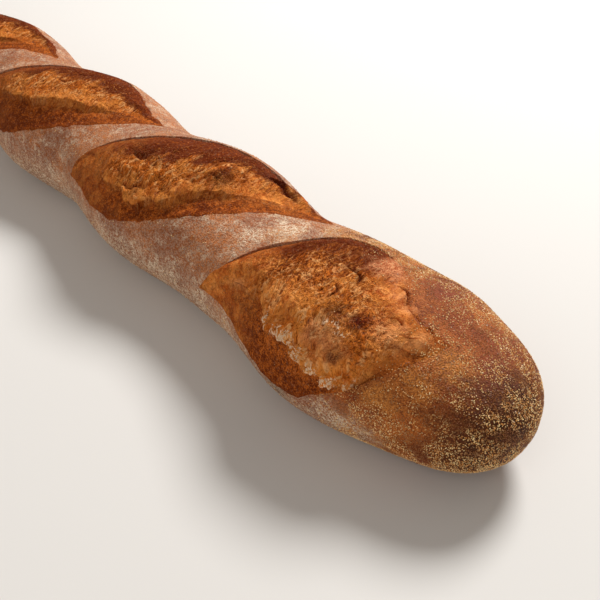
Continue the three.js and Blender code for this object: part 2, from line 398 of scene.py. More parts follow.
def crust_ball():
    """The ball that the crust is shaped from, in triangles."""
    ball = bmesh.new()
    rows = BLUNT_ROWS + BODY_ROWS + SLIM_ROWS
    bmesh.ops.create_uvsphere(ball, u_segments=COLUMNS, v_segments=rows, radius=1)
    bmesh.ops.triangulate(ball, faces=ball.faces)
    return ball


def new_object(name, data):
    """A new object of the scene, at its origin."""
    made = bpy.data.objects.new(name, data)
    bpy.context.collection.objects.link(made)
    return made


def new_piece(name, mesh, material):
    """Turns a bmesh in millimetres into a smooth-shaded object of the loaf, in metres."""
    for vert in mesh.verts:
        vert.co *= MM
    data = bpy.data.meshes.new(name)
    mesh.to_mesh(data)
    mesh.free()
    data.shade_smooth()
    data.set_sharp_from_angle(angle=SHARP_OVER)
    data.materials.append(material)
    piece = new_object(name, data)
    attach(piece, "root")
    return piece


def linear(hex_colour):
    """An sRGB hex colour as linear red, green, blue and alpha."""
    shares = (int(hex_colour[i : i + 2], 16) / 255 for i in (1, 3, 5))
    return (*(c / 12.92 if c <= 0.04045 else ((c + 0.055) / 1.055) ** 2.4 for c in shares), 1)


# Kinds of node, and settings of two of them. A blend of colours takes its factor at input 0 and the
# colours at 6 and 7, and gives its output 2.
NOISE, RANGE, MATH = "ShaderNodeTexNoise", "ShaderNodeMapRange", "ShaderNodeMath"
BLEND, FIELD, BUMP = "ShaderNodeMix", "ShaderNodeAttribute", "ShaderNodeBump"
SOFT, RGBA = {"interpolation_type": "SMOOTHSTEP"}, {"data_type": "RGBA"}


def add(tree, kind, links, give=0, **settings):
    """Adds a node with its settings and gives one of its sockets. links says what goes into each of
    its inputs, by name or number: another socket, a value, or an sRGB hex colour."""
    node = tree.nodes.new(kind)
    for name, value in settings.items():
        setattr(node, name, value)
    for name, value in links.items():
        if isinstance(value, bpy.types.NodeSocket):
            tree.links.new(value, node.inputs[name])
        elif isinstance(value, str) and value[0] == "#":
            node.inputs[name].default_value = linear(value)
        else:
            node.inputs[name].default_value = value
    return node.outputs[give] if node.outputs else None


def surface(name):
    """A new material, as its node tree, its shader and its place in millimetres."""
    material = bpy.data.materials.new(name)
    material.use_nodes = True
    tree = material.node_tree
    place = add(tree, "ShaderNodeTexCoord", {}, "Object")
    millimetres = add(tree, "ShaderNodeVectorMath", {0: place, "Scale": 1 / MM}, operation="SCALE")
    return material, tree, tree.nodes["Principled BSDF"], millimetres


def grain(place, size, detail=2.0, roughness=0.5):
    """The links of a noise of a real size in millimetres."""
    return {"Vector": place, "Scale": 1 / size, "Detail": detail, "Roughness": roughness}


def between(value, low, high):
    """The links of a range from low, which gives 0, to high, which gives 1."""
    return {"Value": value, "From Min": low, "From Max": high}


def patches(tree, place, size, low, high, detail=2.0, roughness=0.5):
    """Soft-edged patches of a real size in millimetres: 0 where a noise is under low, 1 over high."""
    pattern = add(tree, NOISE, grain(place, size, detail, roughness))
    return add(tree, RANGE, between(pattern, low, high), **SOFT)


PORE = 0.5  # size of the crust's pores


def crust_colour(tree, place):
    """Baked crust without flour: tan to red-brown, light where it stretched and dark where toasted."""
    browner = patches(tree, place, 22, 0.38, 0.62, 3.0)
    colour = add(tree, BLEND, {0: browner, 6: "#bf6a2b", 7: "#984a1c"}, 2, **RGBA)
    toast = add(tree, FIELD, {}, "Fac", attribute_name="toast")
    for name, tone in (("glow", "#d68a3e"), ("blush", "#8a3c24"), ("toast", "#451c09")):
        share = add(tree, FIELD, {}, "Fac", attribute_name=name)
        colour = add(tree, BLEND, {0: share, 6: colour, 7: tone}, 2, **RGBA)
    # The pores are darker, and so are the marks of bubbles between them
    marks = patches(tree, place, 3.2, 0.4, 0.64, 3.0, 0.65)
    marks = add(tree, MATH, {0: marks, 1: 0.34}, operation="MULTIPLY")
    pores = patches(tree, place, PORE, 0.4, 0.62, 1.0, 0.6)
    darker = add(tree, MATH, {0: pores, 1: 0.6, 2: marks}, operation="MULTIPLY_ADD")
    dark = add(tree, BLEND, {0: toast, 6: "#6a2c0c", 7: "#200b03"}, 2, **RGBA)
    return add(tree, BLEND, {0: darker, 6: colour, 7: dark}, 2, **RGBA)


def crust_material():
    """Bread crust, baked: matt to faintly glossy, tan to red-brown, with flour dust in its pores."""
    material, tree, shader, place = surface("baked_crust_with_flour")
    # Flour shows as specks over half a millimetre, thicker and thinner over a few millimetres
    fine = add(tree, NOISE, grain(place, 0.6, 2.0, 0.7))
    coarse = add(tree, NOISE, grain(place, 1.6, 5.0, 0.75))
    specks = add(tree, MATH, {0: fine, 1: coarse})
    specks = add(tree, RANGE, between(specks, 0.84, 1.2), **SOFT)
    specks = add(tree, MATH, {0: specks, 1: 1.5, 2: 0.15}, operation="MULTIPLY_ADD")
    thick = add(tree, FIELD, {}, "Fac", attribute_name="flour")
    flour = add(tree, MATH, {0: specks, 1: thick}, operation="MULTIPLY", use_clamp=True)
    colour = add(tree, BLEND, {0: flour, 6: crust_colour(tree, place), 7: "#e6cfb2"}, 2, **RGBA)
    # The finest semolina is dust under 0.2 mm, drawn here as specks of 0.4 mm so that it shows
    dusted = add(tree, FIELD, {}, "Fac", attribute_name="dust")
    dust = patches(tree, place, 0.42, 0.52, 0.66, 1.0, 0.6)
    dust = add(tree, MATH, {0: dust, 1: dusted}, operation="MULTIPLY")
    colour = add(tree, BLEND, {0: dust, 6: colour, 7: "#d39a55"}, 2, **RGBA)
    pores = add(tree, NOISE, grain(place, PORE, 1.0, 0.6))
    blisters = add(tree, NOISE, grain(place, 3, 3.0))
    relief = add(tree, MATH, {0: pores, 1: blisters})
    normal = add(tree, BUMP, {"Height": relief, "Strength": 1.0, "Distance": 0.5 * MM})
    tree.links.new(colour, shader.inputs["Base Color"])
    tree.links.new(normal, shader.inputs["Normal"])
    matt = add(tree, RANGE, {"Value": flour, "To Min": 0.55, "To Max": 0.95})
    tree.links.new(matt, shader.inputs["Roughness"])
    shader.inputs["Specular IOR Level"].default_value = 0.14
    return material


# Places that the oven toasted darker, that stayed light, or that blushed, each with its radius
TOASTED = [((267, 8), 8), ((276, 44), 24), ((274, 20), 13), ((272, -60), 16), ((210, 53), 8)]
LIGHT = [
    *[((257, 8), 9), ((246, 34), 11), ((254, 22), 9), ((174, 4), 9), ((152, -12), 14)],
    *[((186, -15), 11), ((200, -21), 12), ((213, -24), 11)],
]
BLUSHED = [((262, -16), 15), ((268, -4), 11), ((236, -12), 9)]
TOASTED_END = (257, 275)  # the stretch of the loaf over which its blunt end gets darker
SOLE_RIM = (84, 92)  # how far round the loaf the darker sole starts
SPOT_FADE = (0.1, 1.1)  # where a spot fades out, in radii
SPOT_RAGGED = 0.5  # how ragged its rim is, in radii


def near_places(x, s, spots):
    """How near a place is to the nearest of some spots: 1 at its middle and 0 at its ragged rim."""
    nearness = 0
    for (spot_x, spot_s), radius in spots:
        away = math.hypot(x - spot_x, s - spot_s) / radius
        if away < SPOT_FADE[1] + SPOT_RAGGED:
            ragged = away + SPOT_RAGGED * bumps(x, s, radius / 2, 7)
            nearness = max(nearness, fading(ragged, *SPOT_FADE))
    return nearness


def crust_tones(x, s):
    """The masks of a place on the crust for its toasting, its light stretches and its blush."""
    end = 0.9 * smooth(x + 3 * bumps(x, s, 9, 5), *TOASTED_END) * (1 - 0.35 * smooth(-s, 10, 40))
    sole = 0.45 * smooth(abs(s), *SOLE_RIM)
    toast = max(0.75 * near_places(x, s, TOASTED), end, sole)
    glow = 0.8 * near_places(x, s, LIGHT)
    blush = 0.75 * near_places(x, s, BLUSHED)
    return {"toast": toast, "glow": glow, "blush": blush}


# Places where flour lies thicker, on the flank and on the rim over the near cut, and how thickly
# it lies there, in the film on the straps and low on the flanks
FLOURED_FLANK = [((233, 54), 9), ((243, 57), 8)]
FLOURED_RIM = [((173, 0), 11), ((166, 10), 9), ((160, -8), 9)]
ON_PATCH, ON_RIM, ON_STRAP, ON_FLANK = 0.5, 0.48, 0.19, 0.42


def flour_at(x, s):
    """How much flour lies on the crust: a film on the straps, more low on the flanks."""
    strap = fading(x, 176, 212)
    low = smooth(abs(s), 38, 58) * fading(x, 226, 256)
    patch = near_places(x, s, FLOURED_FLANK)
    drift = smooth(bumps(x, s, 9, 3) + 0.7 * bumps(x, s, 3.5, 4), -0.1, 0.5)
    rim = max(near_places(x, s, FLOURED_RIM), 0.5 * drift)
    return clamp(strap * (ON_STRAP + ON_RIM * rim) + ON_FLANK * low + ON_PATCH * patch)


MOST_GRAINS = 4.2  # to a square millimetre
FEWEST = 0.05  # as a share of that
BARE = [((267, 9), 6)]  # where nearly all grains have rubbed off


def semolina_at(x, s):
    """Grains to a square millimetre: most on the blunt end, its top and its foot."""
    end = 0.5 * smooth(x, 250, 270) + 0.5 * smooth(x, 232, 252) + 0.3 * smooth(x, 270, 276)
    top = smooth(-s, 0, 13) * smooth(x, 174, 200) * smooth(s, -75, -35)
    top *= 1.5 - 0.6 * smooth(x, 215, 235)
    foot = smooth(s, 28, 46) * smooth(x, 222, 240)
    crowded = max(end, top, foot, FEWEST)
    clump = smooth(bumps(x, s, 2.6, 11) + 0.6 * bumps(x, s, 7, 12), -0.9, 0.6)
    return MOST_GRAINS * crowded * clump * (1 - 0.8 * near_places(x, s, BARE))


def write_masks(mesh, masks):
    """Writes one number a corner for each named mask."""
    for name, values in masks.items():
        mesh.attributes.new(name, "FLOAT", "POINT").data.foreach_set("value", values)


ball = crust_ball()
places = [place_on_skin(vert.co) for vert in ball.verts]
edges = [(edge.verts[0].index, edge.verts[1].index) for edge in ball.edges]
for cut in CUTS:
    for line in (cut.lip_line, cut.hem_line):
        draw_to_line(places, edges, line, cut.low_tip[0], cut.high_tip[0])

# The stretch of the loaf that each piece of semolina covers, from a height over the tray on. The
# dust between the grains covers a share of the crust that goes up with their number.
SOWN = {"semolina_end": (262, 281), "semolina_shoulder": (244, 262), "semolina_body": (-281, 244)}
CLINGS_FROM = 1
GRAINS_FOR_ALL_DUST = 12  # to a square millimetre
DUST = (0.1, 0.35)  # at least and at most
crust_masks = {name: [] for name in ("flour", "dust", "toast", "glow", "blush", *SOWN)}
for vert, (x, s) in zip(ball.verts, places):
    lift, push, covered = 0, 0, False
    for cut in CUTS:
        more_lift, more_push, in_cut = crust_relief(cut, x, s)
        lift, push, covered = lift + more_lift, push + more_push, covered or in_cut
    vert.co = skin_point(x, s, lift, push)
    for name, value in crust_tones(x, s).items():
        crust_masks[name].append(value)
    grains = semolina_at(x, s)
    bare = covered or vert.co.z <= CLINGS_FROM
    crust_masks["flour"].append(0 if covered else flour_at(x, s))
    crust_masks["dust"].append(clamp(grains / GRAINS_FOR_ALL_DUST, *DUST))
    for name, (low_x, high_x) in SOWN.items():
        crust_masks[name].append(0 if bare or not low_x <= x < high_x else grains)

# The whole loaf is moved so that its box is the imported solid's
corners = [[vert.co[axis] for vert in ball.verts] for axis in range(3)]
settle = Vector(
    (
        (LOW.x + HIGH.x - min(corners[0]) - max(corners[0])) / 2,
        (LOW.y + HIGH.y - min(corners[1]) - max(corners[1])) / 2,
        LOW.z - min(corners[2]),
    )
)
for vert in ball.verts:
    vert.co += settle
crust = new_piece("crust", ball, crust_material())
write_masks(crust.data, crust_masks)
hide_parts("loaf")

# --- The torn crumb ------------------------------------------------------------------------------
# What the oven pushed out of each cut: soft dough that domed up, tore into fibres and lumps, and
# baked golden, with a smooth red-brown slope under the lip. It breaks off at a ragged ledge, and a
# smooth band runs on from there to the hem.

TIP_LEFT_OUT = 0.006  # share of a cut's length at each tip where there is no crumb
TIP_REACH = 6  # how far from a tip the crumb's rims lap fully over the cut's lines
TUCK = 1.3  # how far the crumb starts under a lifted lip, or laps over the crust where none lifted
LAP = 0.1  # how high it lies on the crust there
CRUMB_STEPS = (0.36, 0.42, 0.62)  # size of a patch's faces: in the near cut, the second, the rest
LEDGE_ROWS = (0.72, 0.76)  # the rows of a patch that make the face of the ledge
CRUMB_MASKS = (
    *("crest", "even", "dark", "burnt", "gold", "pink", "pale", "skin"),
    *("toast", "glow", "blush", "semolina_cut"),
)
ANCHOR_DEPTH = 14  # how deep under the skin a patch closes, in one point

# What differs between the near cut, which tore in loose bits, and those behind it
SLOPE_TO = (0.14, 0.34)  # share of an opening that the smooth brown slope under the lip takes up
LEDGE_FACE = (0.4, 1.6)  # width of the ledge's face
PAINTED_LEDGE_SHADOW = (0.6, 0.25)  # how dark the shade painted just under the ledge's edge is
GOLD_TIP = (0.8, 0.35)  # how golden the crumb is at the low tip
GOLD_BAND = (0.8, 0.3)  # how golden the band is at the golden places


def crumb_material():
    """Torn crumb, baked: matt and fibrous, painted lit gold on its crests and painted shaded brown in its
    hollows.
    """
    material, tree, shader, place = surface("torn_golden_crumb")
    mask = {name: add(tree, FIELD, {}, "Fac", attribute_name=name) for name in CRUMB_MASKS}
    way = add(tree, FIELD, {}, "Vector", attribute_name="fibres")

    # Fibres: a thread is the thin line where a smooth noise passes its middle value. Real ones are
    # 0.1 to 0.3 mm thick and are drawn at twice that, so that they show.
    middle = add(tree, NOISE, grain(way, 1.3, 1.0, 0.6))
    middle = add(tree, MATH, {0: middle, 1: 0.5}, operation="SUBTRACT")
    middle = add(tree, MATH, {0: middle}, operation="ABSOLUTE")
    threads = add(tree, RANGE, between(middle, 0.08, 0.0), **SOFT)
    fuzz = add(tree, NOISE, grain(way, 0.5, 1.0, 0.6))
    clots = add(tree, NOISE, grain(way, 1.2, 2.0, 0.6))
    fibres = add(tree, MATH, {0: threads, 1: 0.16, 2: fuzz}, operation="MULTIPLY_ADD")
    fibres = add(tree, MATH, {0: clots, 1: 0.65, 2: fibres}, operation="MULTIPLY_ADD")
    # Painted light and shade: where fibres and crests stand high the colour is painted lit, and where they
    # lie low it is painted shaded
    height = add(tree, MATH, {0: fibres, 1: 2.6, 2: mask["crest"]}, operation="MULTIPLY_ADD")
    painted_lit = add(tree, RANGE, between(height, 2.0, 3.5), **SOFT)

    # Torn crumb with painted light: lit gold on crests and shaded brown in hollows, more or less so in
    # patches, and peach in places on the lit crests
    tones = patches(tree, place, 7, 0.36, 0.64, 4.0, 0.6)
    crest = add(tree, BLEND, {0: tones, 6: "#e58c3c", 7: "#c9651a"}, 2, **RGBA)
    painted_hollow_shade = add(tree, BLEND, {0: tones, 6: "#7a3309", 7: "#5c2204"}, 2, **RGBA)
    colour = add(tree, BLEND, {0: painted_lit, 6: painted_hollow_shade, 7: crest}, 2, **RGBA)
    peach = add(tree, MATH, {0: patches(tree, way, 2.4, 0.5, 0.66, 2.0, 0.7), 1: painted_lit}, operation="MULTIPLY")
    colour = add(tree, BLEND, {0: peach, 6: colour, 7: "#eba868"}, 2, **RGBA)

    # Smooth skin on the slope and the band: mottled over half a millimetre and over two
    fine = add(tree, NOISE, grain(place, 0.55, 1.0, 0.6))
    coarse = add(tree, NOISE, grain(place, 1.9, 3.0, 0.7))
    mottle = add(tree, MATH, {0: fine, 1: coarse})
    mottled = add(tree, RANGE, between(mottle, 0.72, 1.28), **SOFT)
    smooth_skin = add(tree, BLEND, {0: mottled, 6: "#521b04", 7: "#cb6a24"}, 2, **RGBA)
    colour = add(tree, BLEND, {0: mask["even"], 6: colour, 7: smooth_skin}, 2, **RGBA)

    # Where the oven darkened it, unevenly with the mottle
    uneven = between(mottle, 0.9, 1.3) | {"To Min": 1.2, "To Max": 0.5}
    uneven = add(tree, RANGE, uneven, **SOFT)
    darkened = add(tree, MATH, {0: mask["dark"], 1: uneven}, operation="MULTIPLY")
    colour = add(tree, BLEND, {0: darkened, 6: colour, 7: "#642506"}, 2, **RGBA)

    # Where it stayed golden or blushed, with both tones set by the fibres and painted lit or shaded with them
    warm = add(tree, MATH, {0: patches(tree, place, 4.5, 0.4, 0.6, 3.0, 0.6), 1: 0.5}, operation="MULTIPLY")
    warm = add(tree, MATH, {0: painted_lit, 1: 0.55, 2: warm}, operation="MULTIPLY_ADD")
    gold = add(tree, BLEND, {0: warm, 6: "#b04c16", 7: "#f59c4a"}, 2, **RGBA)
    golden = {0: patches(tree, place, 2.6, 0.38, 0.58, 3.0, 0.7), 1: 0.6, 2: 0.4}
    golden = add(tree, MATH, golden, operation="MULTIPLY_ADD")
    golden = add(tree, MATH, {0: mask["gold"], 1: golden}, operation="MULTIPLY")
    colour = add(tree, BLEND, {0: golden, 6: colour, 7: gold}, 2, **RGBA)
    pink = add(tree, BLEND, {0: painted_lit, 6: "#a24e28", 7: "#e9a16f"}, 2, **RGBA)
    colour = add(tree, BLEND, {0: mask["pink"], 6: colour, 7: pink}, 2, **RGBA)
    # Toasted spots, and painted shade in creases and just under the ledge, all in one dark red-brown
    burnt = add(tree, MATH, {0: mask["burnt"], 1: uneven}, operation="MULTIPLY")
    colour = add(tree, BLEND, {0: burnt, 6: colour, 7: "#551a08"}, 2, **RGBA)

    # Pale unbaked fibres where it tore last, and plain crust where the crumb runs out into it
    frayed = add(tree, MATH, {0: patches(tree, way, 0.65, 0.4, 0.62, 2.0, 0.7), 1: 0.5}, operation="SUBTRACT")
    pale = add(tree, MATH, {0: mask["pale"], 1: frayed})
    pale = add(tree, RANGE, between(pale, 0.42, 0.9), **SOFT)
    colour = add(tree, BLEND, {0: pale, 6: colour, 7: "#f3cba4"}, 2, **RGBA)
    crust_there = crust_colour(tree, place)
    colour = add(tree, BLEND, {0: mask["skin"], 6: colour, 7: crust_there}, 2, **RGBA)

    pits = add(tree, NOISE, grain(place, 1.8, 3.0, 0.7))
    relief = add(tree, MATH, {0: fibres, 1: pits})
    strength = add(tree, RANGE, {"Value": mask["even"], "To Min": 1.0, "To Max": 0.6})
    normal = add(tree, BUMP, {"Height": relief, "Strength": strength, "Distance": 0.9 * MM})
    tree.links.new(colour, shader.inputs["Base Color"])
    tree.links.new(normal, shader.inputs["Normal"])
    shader.inputs["Roughness"].default_value = 0.8
    shader.inputs["Specular IOR Level"].default_value = 0.05
    return material


# What shows in the two near cuts, 0 and 1. Creases where the crumb split: a path, a depth and a
# width. Toasted spots: a place, a radius and a strength. Lumps: a place, a radius and a height.
CREASES = {
    0: [
        ([(205, 2.5), (210, 3), (216, 4.5), (219.5, 8.5)], 2, 1.1),
        ([(226, -0.4), (228.5, -0.6), (231, 0), (233.5, 2)], 2.4, 0.8),
        ([(233, 2.6), (237, 3.6), (241, 4.2), (243.5, 3.2), (246, 4), (250, 6)], 1.6, 0.6),
        ([(233, 9.5), (236, 8), (239, 8.2)], 1, 0.5),
        ([(239, 12), (243, 10.5), (245, 8)], 0.8, 0.5),
        ([(252, 10), (248, 12.5), (243, 14.5), (238, 15.5)], 0.5, 1.8),
        ([(212, 9), (216, 12), (215, 16)], 0.8, 0.7),
    ],
    1: [
        ([(161, -16), (153, -16.5), (146, -15.5), (138, -13)], 1.8, 2.4),
        ([(92, 12), (98, 13), (104, 11)], 1.3, 1.4),
        ([(102, 25), (108, 24), (114, 20)], 1.4, 1.4),
        ([(86, 26), (88, 22), (92, 19)], 1.6, 1.2),
        ([(126, 5), (131, 3), (138, 3)], 1.6, 1.2),
    ],
}
SPOTS = {
    0: [
        *[((221.5, 17), 5, 0.7), ((229, 15.5), 4.2, 0.95), ((229, 28), 3.8, 0.75)],
        *[((191, 30), 3.5, 0.8), ((199, 33), 3, 0.4)],
    ],
    1: [
        *[((133, 0), 7, 0.75), ((126, 6), 4, 0.5), ((88, 26), 4, 0.6)],
        *[((141, -13.5), 4, 0.9), ((147, -16), 4.5, 0.95), ((154, -17), 4, 0.8)],
    ],
}
LUMPS = {
    0: [
        *[((246, 8), 5, 1.5), ((236, 6), 4, 0.7), ((229.5, 27), 4, -0.7)],
        *[((222, 17), 4, -0.6), ((238, 12), 4, 0.7)],
    ],
    1: [
        *[((132, -1), 8, 1.8), ((112, 9), 7, 1.0), ((100, 17), 6, 0.9)],
        *[((86, 12), 7, 0.5), ((120, 4), 5, 0.8)],
    ],
}

# Places, each with its radius, where small round lumps broke out, pale fibres show, the crumb
# blushed, or it stayed smooth and golden
KNOBBLY = {0: [((243, 8), 12)]}
PALE_FIBRES = {0: [((246, 8), 8), ((179, 31), 6), ((238, 13), 7), ((224, 25), 9)]}
PINK = {0: [((226, -8), 12), ((216, -6), 9), ((236, -3), 10)]}
GOLDEN = {
    0: [
        *[((178, 31), 11), ((170, 38), 9), ((182, 20), 9), ((227, 3), 9), ((229, 27), 7)],
        *[((238, 6), 10), ((247, 9), 9), ((242, 26), 10), ((206, 22), 9), ((196, 24), 8)],
    ],
    1: [((158, -11), 11), ((147, -5), 9), ((138, 4), 8), ((127, 14), 7), ((115, 23), 6)],
}

# The near cut's torn bits, each with its place along the ledge and half its width, and the pale
# threads that hang by it, with their width
TORN_BITS = [(202, 2.5), (210, 6), (217.5, 3), (224.5, 2.5), (231, 3), (237, 2)]
THREADS = [[(220, 23), (221, 20.5), (224, 19), (227.5, 20.5)], [(225, 22.5), (227, 20.5), (231, 21)]]
THREAD_WIDTH = 0.6


def crease_at(x, s, path, width):
    """How near a place is to a crease, 1 on its middle, and on which side of it."""
    nearest, side, reached = 1e9, 0, 0
    for leg, ((x0, s0), (x1, s1)) in enumerate(zip(path, path[1:])):
        along_x, along_s = x1 - x0, s1 - s0
        share = clamp(((x - x0) * along_x + (s - s0) * along_s) / (along_x**2 + along_s**2))
        away_x, away_s = x - x0 - share * along_x, s - s0 - share * along_s
        distance = math.hypot(away_x, away_s)
        if distance < nearest:
            nearest, side = distance, away_s * along_x - away_x * along_s
            reached = (leg + share) / (len(path) - 1)
    return math.exp(-((nearest / width) ** 2)) * math.sin(math.pi * reached), side


def lumps(x, s, size, seed):
    """Round lumps that meet in creases, from 0 in a crease to 1 on a lump."""
    distances = noise.voronoi(Vector((x / size, s / size, seed)))[0]
    return clamp(1.6 * (distances[1] - distances[0])) ** 0.5


def fibre_way(x, s, warp):
    """A place measured along the crumb's fibres, which run round the loaf, and across them."""
    return s - 0.2 * x + warp, x + 0.2 * s + warp


def crumb_relief(number, cut, x, s, past_lip, before_ledge):
    """Height of the crumb over the dome's plain form, and its masks."""
    behind = min(number, 1)
    across = way_across(past_lip, before_ledge)
    opened, torn = cut.opened(x), cut.torn(x)
    near_ledge = fading(before_ledge, 0, LEDGE_WIDTH)
    started = smooth(cut.share(x) + 0.04 * cut.bumps(x, s, 6), 0.12, 0.34)

    # Rough where it tore, past the smooth slope: folds along the fibres, wrinkles and crumbs
    slope_to = SLOPE_TO[behind]
    ragged = across + 0.12 * cut.bumps(x, s, 9)
    rough = opened * started * smooth(ragged, slope_to - 0.1, slope_to + 0.1)
    rough *= lerp(1 - near_ledge, 1, torn)
    warp = 2 * cut.bumps(x, s, 6, 20)
    along, over = fibre_way(x, s, warp)
    folds = lumps(along / 1.8, over, lerp(3.6, 5.6, cut.rocky), cut.seed + 30)
    wrinkle = 1 - 2.2 * abs(cut.bumps(along / 2, over, 0.95, 40))
    crumbs = noise.fractal(Vector((x, s, cut.seed)), 0.7, 2.1, 2)
    swell = 1.1 * cut.bumps(x, s, 17) + 0.6 * cut.bumps(x, s, 7)
    knobbly = near_places(x, s, KNOBBLY.get(number, []))
    rocky = 0.1 + max(cut.rocky, 0.8 * knobbly)
    lift = opened * swell * lerp(1 - near_ledge, 1, torn)
    lift += rough * (rocky * (folds - 0.6) + 0.25 * wrinkle) + opened * lerp(0.12, 0.26, rough) * crumbs

    # The crests are painted lit and the hollows painted in shade, and so are the lumps and dents below
    crest = (
        (0.1 if behind else 0.3 * smooth(x, 198, 226) - 0.05)
        + 0.55 * across
        + 0.35 * wrinkle
        + 0.25 * crumbs
        + (0.1 + 0.4 * cut.rocky) * (folds - 0.6)
        + 0.15 * swell
    )
    # Painted light: the knobbly lumps are painted lighter still
    crest += 0.5 * knobbly
    if not behind:
        crest += 0.3 * smooth(across, 0.6, 0.9)
    burnt = 0.2 * smooth(cut.bumps(x, s, 5, 50), 0.1, 0.6)
    for (lump_x, lump_s), radius, height in LUMPS.get(number, []):
        on_lump = fading(math.hypot(x - lump_x, s - lump_s), 0, radius)
        lift += height * on_lump
        crest += 0.2 * height * on_lump
    for (spot_x, spot_s), radius, strength in SPOTS.get(number, []):
        ragged_radius = radius * (1 + 0.7 * cut.bumps(x, s, 2))
        away = math.hypot(x - spot_x, s - spot_s)
        burnt = max(burnt, strength * fading(away, 0.1 * ragged_radius, ragged_radius))
    # One side of a crease stands up, painted lit, and the other sinks, painted in shade
    for path, depth, width in CREASES.get(number, []):
        nearness, side = crease_at(x + 0.7 * warp, s + 0.7 * warp, path, width)
        if side > 0:
            lift += 0.33 * depth * nearness
            crest += 0.5 * nearness
        else:
            lift -= depth * nearness
            crest -= 0.8 * nearness
            burnt = max(burnt, 0.45 * min(depth, 2) * nearness**2)

    gold = max(near_places(x, s, GOLDEN.get(number, [])), GOLD_TIP[behind] * (1 - started))
    # Behind the near cut, the gold along the ledge is partly the crumb's tone and partly a painted highlight
    # on its lit rim
    if behind:
        gold = max(gold, 0.75 * torn * near_ledge)
    dark = fading(across + 0.1 * cut.bumps(x, s, 7), slope_to, slope_to + 0.36)
    # Behind the near cut the slope is darker still: partly its baked tone, partly painted shade
    if behind:
        dark = clamp(1.5 * dark * (1 - gold))
    else:
        dark = dark * lerp(1, 0.15, smooth(cut.share(x), 0.56, 0.72)) * (1 - gold)
    pink = 0.9 * near_places(x, s, PINK.get(number, []))
    masks = {"crest": crest, "even": clamp(1 - rough), "burnt": burnt}
    return lift, masks | {"gold": gold, "dark": dark, "pink": pink}


def band_looks(number, cut, x, s, past_ledge, before_hem, broken, masks):
    """Height of the band under the ledge, and its masks, which follow on from the crumb's."""
    behind = min(number, 1)
    low = band(cut, x, max(past_ledge, 0), before_hem)
    torn_here = cut.opened(x) * cut.torn(x) * fading(past_ledge, 2, 10)
    low += 0.3 * torn_here * (lumps(x, s, 2.6, cut.seed) - 0.5 + cut.bumps(x, s, 1.2))
    low += 0.35 * cut.opened(x) * cut.bumps(x, s, 5)
    low += LAP - 0.3 * clamp(-before_hem)

    masks = {name: value * fading(past_ledge, 0, 3) for name, value in masks.items()}
    masks["even"] = max(masks["even"], smooth(past_ledge, 0, 3))
    # Painted light: the band just past the ledge is painted lighter
    masks["crest"] += 0.35 * smooth(past_ledge, 0, 3)
    low_tip = 0.8 * fading(cut.share(x) + 0.15 * cut.bumps(x, s, 9), 0.2, 0.46)
    # Gold just under the ledge; behind the near cut it is partly a painted highlight on the band's lit rim
    gold_and_highlight = 0.7 * torn_here * fading(past_ledge + 2 * cut.bumps(x, s, 3), 1, 6)
    dark = 0.5 * smooth(past_ledge, 4, 12)
    if behind:
        low_tip = 0.5 * low_tip
        gold_and_highlight = 0.8 * gold_and_highlight * smooth(cut.share(x), 0.45, 0.6)
        dark = 0.4 + 0.35 * smooth(past_ledge, 5, 12)
    golden = GOLD_BAND[behind] * near_places(x, s, GOLDEN.get(number, []))
    masks["gold"] = max(golden, low_tip, gold_and_highlight)
    masks["dark"] = dark
    # Painted shadow just under the ledge, where the crumb broke off
    painted_ledge_shadow = PAINTED_LEDGE_SHADOW[behind] * broken * fading(past_ledge, 0.4, 2.5)
    toasted = 0.3 * smooth(cut.bumps(x, s, 8), -0.1, 0.5)
    masks["burnt"] = max(masks["burnt"], painted_ledge_shadow, toasted)
    return low, masks


